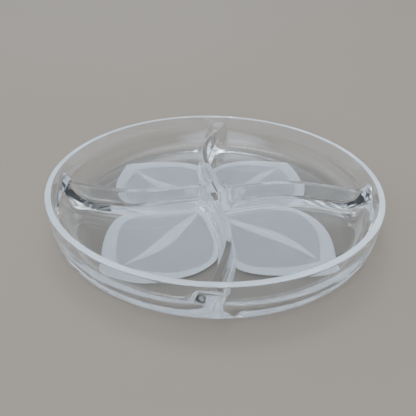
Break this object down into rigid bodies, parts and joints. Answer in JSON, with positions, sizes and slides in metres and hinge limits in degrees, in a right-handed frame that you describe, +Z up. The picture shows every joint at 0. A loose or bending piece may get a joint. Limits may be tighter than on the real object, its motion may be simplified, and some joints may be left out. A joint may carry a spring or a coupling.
{
  "type": "sectioned serving dish",
  "caption": "Round clear glass serving dish with S-curved dividers meeting at a central hub, a flat-topped rim and frosted leaf panels in relief on its underside.",
  "frame": {"origin": "on the table surface, under the middle of the dish", "axes": "+Z up, towards the rim; +X along the right-hand divider, and the pattern repeats every quarter turn"},
  "size_m": [0.3, 0.3, 0.0435],
  "materials": {
    "clear_glass": "clear, fire-polished pressed glass",
    "frosted_glass": "satin, acid-etched"
  },
  "bodies": {
    "root": {"dish_floor": "clear_glass", "dish_corner": "clear_glass", "dish_wall": "clear_glass", "divider_right": "clear_glass", "divider_back": "clear_glass", "divider_left": "clear_glass", "divider_front": "clear_glass", "centre_hub": "clear_glass", "leaf_back_right": "frosted_glass", "leaf_back_left": "frosted_glass", "leaf_front_left": "frosted_glass", "leaf_front_right": "frosted_glass"}
  },
  "joints": []
}
